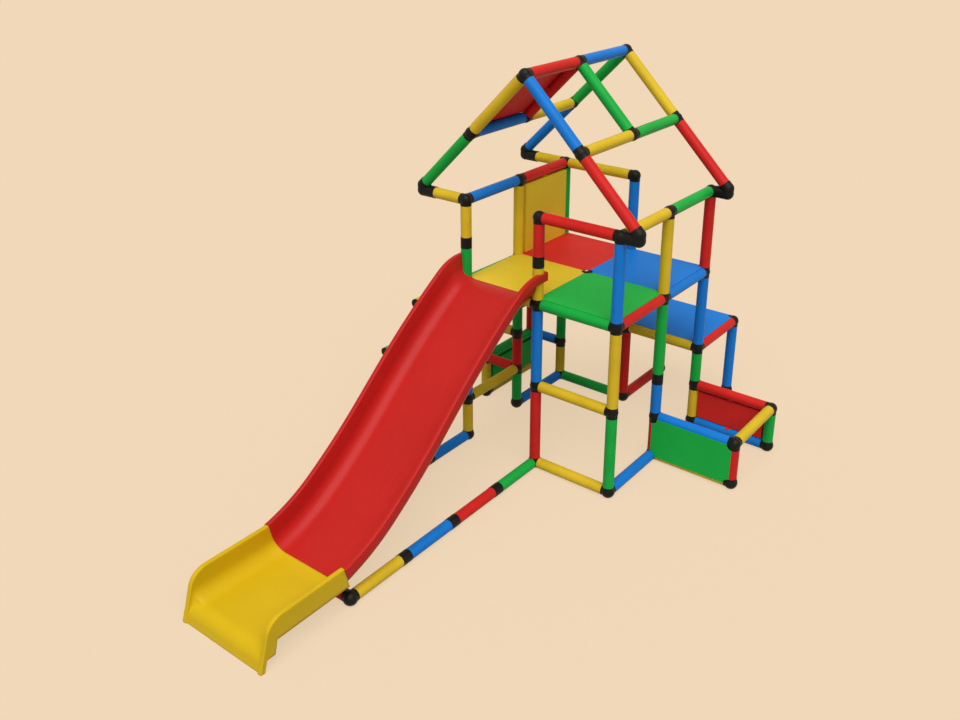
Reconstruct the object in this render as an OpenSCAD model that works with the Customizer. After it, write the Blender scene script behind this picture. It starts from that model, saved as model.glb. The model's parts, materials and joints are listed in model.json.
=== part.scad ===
/* [Grid] */
// Centre distance of two joints one full bay apart
bay = 400; // [380:1:440]
// Centre distance of two joints half a bay apart
half_bay = 200; // [190:1:220]
// Centre distance of two joints along the floor rails of the slide
rail_pitch = 300; // [290:1:305]

/* [Tubes] */
// Outer diameter of every tube
tube_d = 50; // [46:1:54]
// Wall of every tube
tube_wall = 3; // [2:0.5:4]

/* [Joints] */
// Diameter of the ball in the middle of a joint
ball_d = 56; // [55:1:60]
// Diameter of the ball of a joint that stands on the ground
foot_ball_d = 61; // [60:1:64]
// Height of the lowest tube centres over the ground
foot_h = 28; // [28:0.5:29]
// Extra radius of a joint's collar over the tube
collar_lip = 0.5; // [0.5:0.1:1]
// Distance of each tube's end face from the collars beside it
collar_clear = 0.5; // [0.5:0.1:1]
// Extra radius of a straight coupling over the tube
coupling_lip = 1; // [0.5:0.5:2]
// Length of a joint's plug inside a tube
plug_len = 30; // [20:1:40]
// Clearance around a plug in its tube
plug_gap = 0.3; // [0.2:0.05:0.6]
// Wall of a hollow plug
plug_wall = 4; // [3:0.5:6]

/* [Roof] */
// Slope of both roof sides
roof_angle = 45; // [43:1:47]
// Length of the elbow's level arm past the end of the short eave tube's bay
elbow_arm = 50; // [45:1:60]
// Height of the elbow's sloping arm over its level arm
elbow_rise = 24.5; // [22:0.5:28]
// Extra radius of an elbow over the tube
elbow_lip = 2.5; // [2:0.5:4]

/* [Panels] */
// Thickness of a panel's face
panel_t = 3; // [2:0.5:4.5]
// Depth of the hollow body under the face of the deck, step and roof panels
flat_depth = 10; // [8:1:14]
// Depth of the body of the right bay's panels
right_depth = 35; // [30:1:40]
// Depth of the body of the wall panel and the left bay's panel
left_depth = 50; // [44:1:50]
// Thickness of the side walls and back of a body
body_wall = 3; // [2:0.5:5]
// Distance from a tube's centre line to the side of a body
body_inset = 29.8; // [29.8:0.1:34]
// Radius of the air hole in the side of a body
air_hole_r = 1.5; // [1:0.5:2]
// Gap between the edge of a panel and the tube's centre line
panel_edge_gap = 0.6; // [0.2:0.1:1]
// Length of a hook that grips a tube
hook_len = 24; // [16:1:60]
// Thickness of a hook and of its tab
hook_t = 3; // [2.5:0.5:4]
// Distance from a tube's centre line to the tip of its hook
hook_reach = 20; // [18:0.5:22]

/* [Slide] */
// Half width over the rims of the long slide
slide_half_w = 229; // [227:0.5:232]
// Height of the side walls over the floor
slide_wall_h = 117; // [105:1:125]
// Width of the rim on top of each side wall
rim_w = 22; // [18:1:26]
// Depth of the rim's outer flange
flange_depth = 40; // [30:1:60]
// Wall of the slide's shell
shell_t = 5; // [4:0.5:6]
// Radius between the floor and the side walls, inside
floor_fillet = 60; // [40:1:70]
// Rounding of the rim's edges
rim_round = 6; // [4:0.5:8]
// Length of the moulded band where one bend meets the next
band_len = 6; // [5:0.5:10]
// Height of that band over the shell's faces
band_h = 0.1; // [0.1:0.05:0.3]
// Steepest slope of the floor
steep_angle = 41; // [39:1:42]
// Slope where the tight bends end and the long bends start
bend_angle = 33; // [31:1:35]
// Slope of the floor at the lower end of the long slide
end_angle = 13; // [11:1:15]
// Length of the straight middle
straight_len = 152; // [120:1:180]
// Radius of the top bend, at the rim
top_bend_r = 260; // [240:1:300]
// Radius of the upper long bend, at the rim
upper_bend_r = 3800; // [3600:10:4000]
// Radius of the lower long bend, at the rim
lower_bend_r = 2600; // [2500:10:2700]
// Radius of the last bend, at the rim
last_bend_r = 750; // [720:1:780]
// Length of the level part in front of the deck
top_level = 30; // [26:1:40]
// Length of the flanges that reach back past the posts
tail_len = 34; // [30:1:40]

/* [Run-out] */
// Half width of the run-out piece
runout_half_w = 221; // [218:0.5:224]
// Length of the run-out's level rim, from the lap joint to the front corner
runout_len = 322; // [300:1:340]
// Height of the run-out's rim over its floor
runout_wall_h = 123; // [118:1:130]
// Depth of the run-out's outer flange
runout_flange = 93; // [80:1:100]
// Radius of the rim's front corner
nose_r = 80; // [70:1:90]
// Slope of the front edge
nose_angle = 73; // [70:1:76]
// Radius of the floor's front edge
lip_r = 60; // [50:1:70]
// Distance of the floor's front edge behind the rim's front edge
lip_inset = 6; // [5:0.5:8]
// Radius of the bend from the slope into the level floor
level_bend_r = 300; // [260:1:340]
// Clearance of the lap joint under the long slide
lap_gap = 0.3; // [0.2:0.05:0.5]

/* [Side rungs] */
// Length of the neck that holds the stringer at the deck, from the joint's centre
neck_len = 56; // [54:0.5:60]
// Slope of the stringer over the upper rung
stringer_top_angle = 31; // [29:1:33]
// Slope of the stringer between the rungs
stringer_middle_angle = 56; // [53:1:60]
// Slope of the stringer under the lower rung
stringer_foot_angle = 81; // [78:1:84]
// Thickness of a cap's flange over the tube's end
cap_t = 5; // [3:0.5:8]

/* [Fasteners] */
// Diameter of a screw's head
screw_head_d = 13; // [11:0.5:15]
// Diameter of a screw's shank
screw_d = 6; // [5:0.5:7]
// Clearance around a screw
screw_gap = 0.3; // [0.2:0.05:0.5]

/* [Hidden] */
$fn = 48;
RED = [0.80, 0.14, 0.13];
BLUE = [0.10, 0.44, 0.80];
GREEN = [0.12, 0.64, 0.26];
YELLOW = [0.86, 0.70, 0.14];
BLACK = [0.12, 0.12, 0.13];

tube_r = tube_d / 2;
bore_r = tube_r - tube_wall;
plug_r = bore_r - plug_gap;
collar_r = tube_r + collar_lip;
joint_half = collar_r + collar_clear;
tube_gap = 0.2;
plug_room = 2;
elbow_swell = 0.8;

// Columns of the grid, seen from above, with the slide running towards -Y
mid_x = 0;
right_x = bay;
left_x = -bay;
right_wing_x = right_x + bay;
left_wing_x = left_x - half_bay;
front_y = 0;
middle_y = bay;
back_y = 2 * bay;
step_y = 3 * bay;
rail_end_y = -4 * rail_pitch;

// Levels of the joint centres
ground = foot_h;
low = ground + half_bay;
step = ground + bay;
deck = step + bay;
grip = deck + half_bay;
rail = deck + bay;

A = [mid_x, front_y];
B = [right_x, front_y];
C = [right_x, middle_y];
D = [right_x, back_y];
E = [right_x, step_y];
F = [left_x, front_y];
G = [left_x, middle_y];
H = [mid_x, middle_y];
I = [left_x, back_y];
J = [mid_x, back_y];
K = [mid_x, step_y];
M = [right_wing_x, middle_y];
N = [right_wing_x, back_y];
P = [left_wing_x, middle_y];
Q = [left_wing_x, back_y];

function at(p, z) = [p[0], p[1], z];
function unit(v) = v / norm(v);

// Roof: two bays along each slope, and elbows that carry the lower ends
slope_run = bay * cos(roof_angle);
slope_rise = bay * sin(roof_angle);
left_eave_x = left_x - half_bay - elbow_arm;
left_purlin_x = left_eave_x + slope_run;
ridge_x = left_purlin_x + slope_run;
right_purlin_x = ridge_x + slope_run;
right_eave_x = right_purlin_x + slope_run;
eave_z = rail + elbow_rise;
purlin_z = eave_z + slope_rise;
ridge_z = purlin_z + slope_rise;
function left_eave(y) = [left_eave_x, y, eave_z];
function left_purlin(y) = [left_purlin_x, y, purlin_z];
function ridge(y) = [ridge_x, y, ridge_z];
function right_purlin(y) = [right_purlin_x, y, purlin_z];
function right_eave(y) = [right_eave_x, y, eave_z];
function short_end(p) = [p[0] - half_bay, p[1], rail];

// Stringer of the side rungs: each length is steeper than the one above it
function down_left(a) = [-cos(a), 0, -sin(a)];
stringer_top = at(G, deck) + (neck_len - joint_half) * down_left(stringer_top_angle);
rung_1 = at(G, deck) + bay * down_left(stringer_top_angle);
rung_2 = rung_1 + bay * down_left(stringer_middle_angle);
foot_rise = rung_2[2] - ground;
stringer_foot = rung_2 + foot_rise / sin(stringer_foot_angle) * down_left(stringer_foot_angle);
function rung_end(p) = p - [0, bay, 0];

// Tubes, as pairs of joint centres
POSTS_RED = [
    [at(A, ground), at(A, step)], [at(A, grip), at(A, rail)],
    [at(D, deck), at(D, rail)], [at(F, step), at(F, deck)]
];
POSTS_BLUE = [
    [at(A, step), at(A, deck)], [at(B, deck), at(B, rail)],
    [at(D, step), at(D, deck)], [at(F, low), at(F, step)],
    [at(J, deck), at(J, rail)], [at(I, step), at(I, deck)]
];
POSTS_GREEN = [
    [at(B, ground), at(B, step)], [at(C, step), at(C, deck)],
    [at(D, low), at(D, step)], [at(F, deck), at(F, grip)],
    [at(G, ground), at(G, low)], [at(G, step), at(G, deck)],
    [at(I, low), at(I, step)], [at(I, deck), at(I, rail)]
];
POSTS_YELLOW = [
    [at(A, deck), at(A, grip)], [at(B, step), at(B, deck)],
    [at(C, deck), at(C, rail)], [at(D, ground), at(D, low)],
    [at(F, ground), at(F, low)], [at(F, grip), at(F, rail)],
    [at(G, deck), at(G, rail)], [at(I, ground), at(I, low)],
    [at(J, step), at(J, deck)]
];
SHORT_POSTS_RED = [
    [at(C, ground), at(C, low)], [at(G, low), at(G, step)],
    [at(J, ground), at(J, step)]
];
SHORT_POSTS_BLUE = [
    [at(C, low), at(C, step)], [at(E, ground), at(E, step)]
];
GROUND_BLUE = [
    [at(B, ground), at(C, ground)], [at(D, ground), at(N, ground)],
    [at(G, ground), at(I, ground)]
];
GROUND_GREEN = [[at(I, ground), at(J, ground)]];
GROUND_RED = [[at(J, ground), at(K, ground)]];
GROUND_YELLOW = [
    [at(A, ground), at(B, ground)], [at(C, ground), at(M, ground)],
    [at(P, ground), at(Q, ground)]
];
LOW_YELLOW = [[at(M, low), at(N, low)], [at(F, low), at(G, low)]];
STEP_YELLOW = [[at(A, step), at(B, step)], [at(J, step), at(D, step)]];
STEP_RED = [[at(D, step), at(E, step)]];
STEP_GREEN = [[at(K, ground), at(K, step)], [at(J, step), at(K, step)]];
STEP_BLUE = [[at(K, step), at(E, step)]];
DECK_GREEN = [
    [at(A, deck), at(B, deck)], [at(F, deck), at(G, deck)],
    [at(H, deck), at(J, deck)]
];
DECK_RED = [[at(B, deck), at(C, deck)], [at(A, deck), at(H, deck)]];
DECK_BLUE = [
    [at(C, deck), at(D, deck)], [at(G, deck), at(I, deck)],
    [at(H, deck), at(C, deck)]
];
DECK_YELLOW = [
    [at(F, deck), at(A, deck)], [at(G, deck), at(H, deck)],
    [at(I, deck), at(J, deck)], [at(J, deck), at(D, deck)]
];
RAIL_RED = [[at(G, rail), at(I, rail)], [at(A, rail), at(B, rail)]];
RAIL_BLUE = [[at(F, rail), at(G, rail)]];
RAIL_YELLOW = [
    [at(B, rail), at(C, rail)], [at(I, rail), at(J, rail)],
    [at(F, rail), short_end(F)], [at(I, rail), short_end(I)]
];
RAIL_GREEN = [[at(C, rail), at(D, rail)]];
ROOF_RED = [
    [ridge(front_y), ridge(middle_y)], [ridge(middle_y), left_purlin(middle_y)],
    [right_purlin(front_y), right_eave(front_y)],
    [right_purlin(back_y), right_eave(back_y)]
];
ROOF_BLUE = [
    [ridge(middle_y), ridge(back_y)],
    [ridge(front_y), right_purlin(front_y)],
    [left_purlin(back_y), left_eave(back_y)],
    [left_purlin(front_y), left_purlin(middle_y)]
];
ROOF_GREEN = [
    [left_purlin(front_y), left_eave(front_y)],
    [ridge(back_y), left_purlin(back_y)],
    [ridge(middle_y), right_purlin(middle_y)],
    [right_purlin(middle_y), right_purlin(back_y)]
];
ROOF_YELLOW = [
    [ridge(front_y), left_purlin(front_y)],
    [ridge(back_y), right_purlin(back_y)],
    [right_purlin(front_y), right_purlin(middle_y)],
    [left_purlin(middle_y), left_purlin(back_y)]
];
RIGHT_WING_RED = [[at(M, ground), at(M, low)], [at(D, low), at(N, low)]];
RIGHT_WING_BLUE = [[at(C, low), at(M, low)]];
RIGHT_WING_GREEN = [[at(N, ground), at(N, low)]];
LEFT_WING_RED = [
    [at(P, low), at(G, low)], [at(Q, low), at(Q, step)],
    [at(P, step), at(Q, step)]
];
LEFT_WING_BLUE = [[at(Q, low), at(I, low)], [at(Q, ground), at(Q, low)]];
LEFT_WING_GREEN = [
    [at(P, low), at(Q, low)], [at(P, low), at(P, step)],
    [at(Q, step), at(I, step)]
];
LEFT_WING_YELLOW = [[at(P, ground), at(P, low)], [at(P, step), at(G, step)]];
function rail_point(p, n) = [p[0], front_y - n * rail_pitch, ground];
function rail_tube(p, n) = [rail_point(p, n), rail_point(p, n + 1)];
FLOOR_RAIL_GREEN = [rail_tube(A, 0), rail_tube(F, 2)];
FLOOR_RAIL_RED = [
    rail_tube(A, 1), rail_tube(F, 3),
    [rail_point(F, 4), rail_point(A, 4)]
];
FLOOR_RAIL_BLUE = [rail_tube(A, 2), rail_tube(F, 0)];
FLOOR_RAIL_YELLOW = [rail_tube(A, 3), rail_tube(F, 1)];
STRINGER = [[stringer_top, rung_1], [rung_1, rung_2], [rung_2, stringer_foot]];
RUNGS = [[rung_1, rung_end(rung_1)], [rung_2, rung_end(rung_2)]];

ALL_TUBES = concat(
    POSTS_RED, POSTS_BLUE, POSTS_GREEN, POSTS_YELLOW, SHORT_POSTS_RED, SHORT_POSTS_BLUE,
    GROUND_BLUE, GROUND_GREEN, GROUND_RED, GROUND_YELLOW, LOW_YELLOW,
    STEP_YELLOW, STEP_RED, STEP_GREEN, STEP_BLUE,
    DECK_GREEN, DECK_RED, DECK_BLUE, DECK_YELLOW,
    RAIL_RED, RAIL_BLUE, RAIL_YELLOW, RAIL_GREEN,
    ROOF_RED, ROOF_BLUE, ROOF_GREEN, ROOF_YELLOW,
    RIGHT_WING_RED, RIGHT_WING_BLUE, RIGHT_WING_GREEN,
    LEFT_WING_RED, LEFT_WING_BLUE, LEFT_WING_GREEN, LEFT_WING_YELLOW,
    FLOOR_RAIL_GREEN, FLOOR_RAIL_RED, FLOOR_RAIL_BLUE, FLOOR_RAIL_YELLOW,
    STRINGER, RUNGS
);

// Tube ends that no ball joint holds: elbows, the stringer's neck and the caps take them
NO_BALL = [
    short_end(F), short_end(I), left_eave(front_y), left_eave(back_y),
    right_eave(front_y), right_eave(back_y), stringer_top, rung_end(rung_1), rung_end(rung_2)
];
function near(p, q) = norm(p - q) < 1;
function among(p, list) = len([for (q = list) if (near(p, q)) 1]) > 0;
ENDS = [for (t = ALL_TUBES) each t];
JOINTS = [
    for (i = [0:len(ENDS) - 1])
        if (!among(ENDS[i], NO_BALL) && len([for (j = [0:1:i - 1]) if (near(ENDS[j], ENDS[i])) 1]) == 0)
            ENDS[i]
];

// Joints with one more arm, which carries an elbow
ELBOW_ARMS = [[at(B, rail), [1, 0, 0]], [at(D, rail), [1, 0, 0]]];
function arms(p) = concat(
    [
        for (t = ALL_TUBES)
            if (near(t[0], p) || near(t[1], p))
                near(t[0], p) ? unit(t[1] - t[0]) : unit(t[0] - t[1])
    ],
    [for (e = ELBOW_ARMS) if (near(e[0], p)) e[1]]
);
function is_coupling(p) =
    let (a = arms(p)) len(a) == 2 && norm(a[0] + a[1]) < 0.01;
function at_level(p, z) = abs(p[2] - z) < 1;
BALLS = [for (p = JOINTS) if (!is_coupling(p)) p];
COUPLINGS = [for (p = JOINTS) if (is_coupling(p)) p];
FEET = [for (p = BALLS) if (at_level(p, ground)) p];
FRAME_JOINTS = [for (p = BALLS) if (p[2] > ground + 1 && p[2] < deck - 1) p];
DECK_JOINTS = [for (p = BALLS) if (at_level(p, deck)) p];
RAIL_JOINTS = [for (p = BALLS) if (at_level(p, rail)) p];
ROOF_JOINTS = [for (p = BALLS) if (p[2] > eave_z + 1) p];

// Long slide: the floor's path in the plane [y, z], starting at the tail
slide_x = (mid_x + left_x) / 2;
seat_gap = 0.2;
floor_z = deck + tube_r + seat_gap + shell_t;
wall_flare = 4;
post_gap = 0.5;
top_r = top_bend_r - slide_wall_h;
upper_r = upper_bend_r - slide_wall_h;
lower_r = lower_bend_r + slide_wall_h;
last_r = last_bend_r + slide_wall_h;
function normal(a) = [-sin(a), cos(a)];
function ahead(a) = [-cos(a), -sin(a)];
function down_end(p, a, b, r) = p - r * [sin(b) - sin(a), cos(a) - cos(b)];
function up_end(p, a, b, r) = p - r * [sin(a) - sin(b), cos(b) - cos(a)];
tail_p = [tail_len, floor_z];
top_p = tail_p + (tail_len + top_level) * ahead(0);
upper_p = down_end(top_p, 0, bend_angle, top_r);
straight_p = down_end(upper_p, bend_angle, steep_angle, upper_r);
lower_p = straight_p + straight_len * ahead(steep_angle);
last_p = up_end(lower_p, steep_angle, bend_angle, lower_r);
slide_end = up_end(last_p, bend_angle, end_angle, last_r);

// Run-out: its floor goes on from the end of the long slide
runout_rim_w = 20;
level_p = up_end(slide_end, end_angle, 0, level_bend_r);
rim_z = level_p[1] + runout_wall_h;
nose_p = [slide_end[0] - runout_len, rim_z];
nose_end = down_end(nose_p, 0, nose_angle, nose_r);
tip_p = nose_end + nose_end[1] / sin(nose_angle) * ahead(nose_angle);
lip_rise = level_p[1] + lip_inset * cos(nose_angle);
lip_top_y = tip_p[0] + lip_rise / tan(nose_angle) + lip_inset * sin(nose_angle);
lip_p = [lip_top_y + lip_r * tan(nose_angle / 2), level_p[1]];
lip_end = down_end(lip_p, 0, nose_angle, lip_r);
lip_len = lip_end[1] / sin(nose_angle);
rim_top = runout_wall_h + shell_t;
nose_top = runout_wall_h + 2 * nose_r;
leg_back = 33;
leg_lean = 14;
leg_foot = 20;
leg_clear = 47;
lap_len = 60;
lap_turn = lap_len / last_r * 180 / PI;
lap_half_w = 140;
lap_angle = end_angle + lap_turn;
lap_start = slide_end + last_r * [sin(lap_angle) - sin(end_angle), cos(end_angle) - cos(lap_angle)];
lap_t = 4;
lap_low = shell_t + lap_gap + lap_t;
saddle_x = 110;
saddle_w = 24;
saddle_gap = 0.3;

function arc(c, r, a, b, n) = [
    for (i = [0:n]) c + r * [cos(a + (b - a) * i / n), sin(a + (b - a) * i / n)]
];
function both_sides(half) = concat(half, [for (i = [len(half) - 1:-1:0]) [-half[i][0], half[i][1]]]);

// Section of the long slide: floor, fillets, walls and turned-down rims, grown by g on all sides
function slide_section(g) =
    let (
        wall_top = slide_half_w - rim_w,
        wall_foot = wall_top - wall_flare,
        fillet_c = [wall_foot - floor_fillet, floor_fillet],
        h = slide_wall_h,
        outer = slide_half_w + g,
        inner = slide_half_w - shell_t - g,
        lip = h - flange_depth - g,
        under = h - shell_t - g
    )
    both_sides(concat(
        arc(fillet_c, floor_fillet - g, -90, 0, 8),
        arc([wall_top + rim_round, h - rim_round], rim_round + g, 180, 90, 3),
        arc([slide_half_w - rim_round, h - rim_round], rim_round + g, 90, 0, 3),
        [[outer, lip], [inner, lip], [inner, under], [wall_top + shell_t + g, under]],
        arc(fillet_c, floor_fillet + shell_t + g, 0, -90, 8)
    ));

// Section of the run-out's tray, with walls of height h that are trimmed to its side outline
function tray_section(h) =
    let (
        wall = runout_half_w - runout_rim_w,
        fillet_c = [wall - floor_fillet, floor_fillet]
    )
    both_sides(concat(
        arc(fillet_c, floor_fillet, -90, 0, 8),
        [[wall, h], [wall + shell_t, h]],
        arc(fillet_c, floor_fillet + shell_t, 0, -90, 8)
    ));

// Section of the room inside the tray, out to the middle of the shell
function room_section(h) =
    let (
        grow = shell_t / 2,
        wall = runout_half_w - runout_rim_w,
        fillet_c = [wall - floor_fillet, floor_fillet]
    )
    both_sides(concat(arc(fillet_c, floor_fillet + grow, -90, 0, 8), [[wall + grow, h]]));

// Flat strip under the floor, from height low to height high
function strip_section(low, high) =
    [[-lap_half_w, low], [lap_half_w, low], [lap_half_w, high], [-lap_half_w, high]];

// Sweeps of a section along a path with slope a at p, and slope b at the far end.
// The lengths head and tail are left out at the two ends.
function turn(len, r) = len / r * 180 / PI;
module sweep_down(p, a, b, r, section, head = 0, tail = 0) {
    c = p - r * normal(a);
    translate([slide_x, c[0], c[1]])
        rotate(180, [1, 0, 1])
            rotate([0, 0, a + turn(head, r)])
                rotate_extrude(angle = b - a - turn(head + tail, r), $fn = 180)
                    polygon([for (q = section) [r + q[1], q[0]]]);
}

module sweep_up(p, a, b, r, section, head = 0, tail = 0) {
    c = p + r * normal(a);
    translate([slide_x, c[0], c[1]])
        rotate(180, [1, 0, 1])
            rotate([0, 0, 180 + b + turn(tail, r)])
                rotate_extrude(angle = a - b - turn(head + tail, r), $fn = 180)
                    polygon([for (q = section) [r - q[1], q[0]]]);
}

module sweep_straight(p, a, len, section) {
    translate([slide_x, p[0], p[1]])
        rotate([90 + a, 0, 0])
            linear_extrude(len)
                polygon(section);
}

// Plate across the slide: outline in the plane [y, z], from x = from to x = to
module side_plate(outline, from, to) {
    translate([slide_x + from, 0, 0])
        rotate([90, 0, 90])
            linear_extrude(to - from)
                polygon(outline);
}

// Same plate on the left and on the right of the slide
module side_plates(outline, from, to) {
    side_plate(outline, from, to);
    side_plate(outline, -to, -from);
}

module along(direction) {
    rotate([0, acos(direction[2]), atan2(direction[1], direction[0])])
        children();
}

// Tubes between the joint centres of a list
module tubes(list, paint) {
    color(paint)
        for (t = list)
            translate(t[0])
                along(unit(t[1] - t[0]))
                    translate([0, 0, joint_half])
                        difference() {
                            cylinder(r = tube_r, h = norm(t[1] - t[0]) - 2 * joint_half);
                            translate([0, 0, -1])
                                cylinder(r = bore_r, h = norm(t[1] - t[0]));
                        }
}

// Plug of a joint inside a tube, with its root in the collar
module plug() {
    root = 4;
    translate([0, 0, joint_half - root])
        difference() {
            cylinder(r = plug_r, h = plug_len + root);
            translate([0, 0, root])
                cylinder(r = plug_r - plug_wall, h = plug_len + 1);
        }
}

module ball_joint(p, ball) {
    seam_turn = 20;
    translate(p) {
        rotate([0, 0, seam_turn])
            sphere(d = ball);
        for (a = arms(p))
            along(a) {
                cylinder(r = collar_r, h = joint_half);
                plug();
            }
    }
}

module ball_joints(list) {
    color(BLACK)
        for (p = list)
            ball_joint(p, ball_d);
}

// Sloping neck on a deck joint that holds the stringer, cut free of the post under it
module stringer_neck() {
    translate(at(G, deck))
        difference() {
            along(down_left(stringer_top_angle)) {
                cylinder(r = collar_r, h = neck_len);
                translate([0, 0, neck_len - joint_half])
                    plug();
            }
            translate([0, 0, -joint_half - bay])
                cylinder(r = tube_r + tube_gap, h = bay);
        }
}

module deck_joints() {
    ball_joints(DECK_JOINTS);
    color(BLACK)
        stringer_neck();
}

// Joints on the ground, cut flat where they stand
module foot_joints() {
    color(BLACK)
        for (p = FEET)
            difference() {
                ball_joint(p, foot_ball_d);
                translate([p[0], p[1], -foot_ball_d])
                    cylinder(d = 2 * foot_ball_d, h = foot_ball_d);
            }
}

module couplings() {
    color(BLACK)
        for (p = COUPLINGS)
            translate(p)
                along(arms(p)[0]) {
                    translate([0, 0, -joint_half])
                        cylinder(r = tube_r + coupling_lip, h = 2 * joint_half);
                    plug();
                    mirror([0, 0, 1])
                        plug();
                }
}

// Elbow between a level arm and a sloping tube, which starts higher by the elbow's rise
module elbow(p, level_dir, arm_len, slope_dir, has_socket) {
    radius = tube_r + elbow_lip;
    socket_len = plug_len + plug_room;
    translate(p) {
        difference() {
            union() {
                sphere(r = radius + elbow_swell);
                translate([0, 0, -elbow_rise]) {
                    cylinder(r = radius, h = elbow_rise);
                    sphere(r = radius + elbow_swell);
                }
                translate([0, 0, -elbow_rise])
                    along(level_dir)
                        cylinder(r = radius, h = arm_len);
                along(slope_dir)
                    cylinder(r = radius, h = joint_half);
            }
            along(slope_dir)
                translate([0, 0, joint_half])
                    cylinder(r = tube_r + tube_gap, h = tube_d);
            if (has_socket)
                translate([0, 0, -elbow_rise])
                    along(level_dir)
                        translate([0, 0, arm_len - socket_len])
                            cylinder(r = bore_r, h = 2 * socket_len);
        }
        along(slope_dir)
            plug();
        if (!has_socket)
            translate([0, 0, -elbow_rise])
                along(level_dir)
                    translate([0, 0, arm_len - joint_half])
                        plug();
    }
}

module elbows() {
    slope = [cos(roof_angle), 0, sin(roof_angle)];
    left_arm = elbow_arm + joint_half;
    right_arm = right_eave_x - right_x - joint_half;
    color(BLACK)
        for (y = [front_y, back_y]) {
            elbow(left_eave(y), [1, 0, 0], left_arm, slope, false);
            elbow(right_eave(y), [-1, 0, 0], right_arm, [-slope[0], 0, slope[2]], true);
        }
}

module rung_caps() {
    color(BLACK)
        for (r = RUNGS)
            translate(r[1])
                along([0, 1, 0])
                    translate([0, 0, joint_half - cap_t])
                        difference() {
                            union() {
                                cylinder(r = tube_r, h = cap_t);
                                cylinder(r = plug_r, h = cap_t + plug_len);
                            }
                            translate([0, 0, cap_t])
                                cylinder(r = plug_r - plug_wall, h = plug_len + 1);
                        }
}

// Panel over a bay: the tubes' centre lines are the edges of a w by l rectangle at z = 0
module panel(w, l, depth, hooks) {
    edge = panel_edge_gap;
    notch_r = collar_r + post_gap;
    inner_w = w - 2 * body_inset;
    inner_l = l - 2 * body_inset;
    middle = tube_r - depth / 2;
    difference() {
        translate([edge, edge, tube_r])
            cube([w - 2 * edge, l - 2 * edge, panel_t]);
        for (x = [0, w])
            for (y = [0, l])
                translate([x, y, 0])
                    cylinder(r = notch_r, h = 2 * tube_r);
    }
    difference() {
        translate([body_inset, body_inset, tube_r - depth])
            cube([inner_w, inner_l, depth]);
        translate([body_inset + body_wall, body_inset + body_wall, tube_r - depth + body_wall])
            cube([inner_w - 2 * body_wall, inner_l - 2 * body_wall, depth - body_wall]);
        translate([w / 2 + hook_len, body_inset - body_wall, middle])
            rotate([-90, 0, 0])
                cylinder(r = air_hole_r, h = 3 * body_wall);
    }
    if (hooks[0])
        translate([w / 2, 0, 0])
            panel_hook();
    if (hooks[1])
        translate([w / 2, l, 0])
            rotate([0, 0, 180])
                panel_hook();
    if (hooks[2])
        translate([0, l / 2, 0])
            rotate([0, 0, -90])
                panel_hook();
    if (hooks[3])
        translate([w, l / 2, 0])
            rotate([0, 0, 90])
                panel_hook();
}

// Hook on a tab under the face, around and under the tube beside it
module panel_hook() {
    inner = tube_r + tube_gap;
    outer = inner + hook_t;
    intersection() {
        rotate([0, 90, 0])
            difference() {
                cylinder(r = outer, h = hook_len, center = true);
                cylinder(r = inner, h = 2 * hook_len, center = true);
            }
        translate([-hook_len, hook_reach, -outer])
            cube([2 * hook_len, outer, outer]);
    }
    translate([-hook_len / 2, inner, -hook_t / 2])
        cube([hook_len, hook_t, tube_r + hook_t]);
}

ALL_SIDES = [true, true, true, true];
module deck_panel(p, z, paint) {
    color(paint)
        translate(at(p, z))
            panel(bay, bay, flat_depth, ALL_SIDES);
}

module wall_panel() {
    color(YELLOW)
        translate(at(I, deck))
            rotate([90, 0, -90])
                panel(bay, bay, left_depth, [false, true, false, true]);
}

module right_wing_panel_green() {
    color(GREEN)
        translate(at(C, ground))
            rotate([90, 0, 0])
                panel(bay, half_bay, right_depth, [true, true, false, false]);
}

module right_wing_panel_red() {
    color(RED)
        translate(at(N, ground))
            rotate([90, 0, 180])
                panel(bay, half_bay, right_depth, [true, true, false, false]);
}

module left_wing_panel() {
    color(GREEN)
        translate(at(Q, ground))
            rotate([90, 0, -90])
                panel(bay, half_bay, left_depth, [true, true, false, false]);
}

module roof_panel() {
    color(RED)
        translate(left_purlin(front_y))
            rotate([0, -roof_angle, 0])
                panel(bay, bay, flat_depth, [true, true, false, true]);
}

// Bends and straight of the long slide, from the deck down, with bands between them
module slide_shell() {
    section = slide_section(0);
    back = band_len / 6;
    sweep_straight(tail_p, 0, tail_len + top_level - back, section);
    sweep_down(top_p, 0, bend_angle, top_r, section, back, back);
    sweep_down(upper_p, bend_angle, steep_angle, upper_r, section, back, back);
    sweep_straight(straight_p + back * ahead(steep_angle), steep_angle, straight_len - 2 * back, section);
    sweep_up(lower_p, steep_angle, bend_angle, lower_r, section, back, back);
    sweep_up(last_p, bend_angle, end_angle, last_r, section, back, 0);
    bands = [
        [top_p, 0], [upper_p, bend_angle], [straight_p, steep_angle],
        [lower_p, steep_angle], [last_p, bend_angle]
    ];
    for (q = bands)
        sweep_straight(q[0] - band_len / 2 * ahead(q[1]), q[1], band_len, slide_section(band_h));
}

// Clip under the slide's top, around the front of the deck's edge tube
module slide_clip(x) {
    clip_w = 20;
    clip_front = 55;
    toe_back = 12;
    toe_t = 6;
    translate([slide_x + x - clip_w / 2, -clip_front, deck - tube_r - toe_t])
        cube([clip_w, clip_front + toe_back, 2 * tube_r + toe_t + 1]);
}

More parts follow.
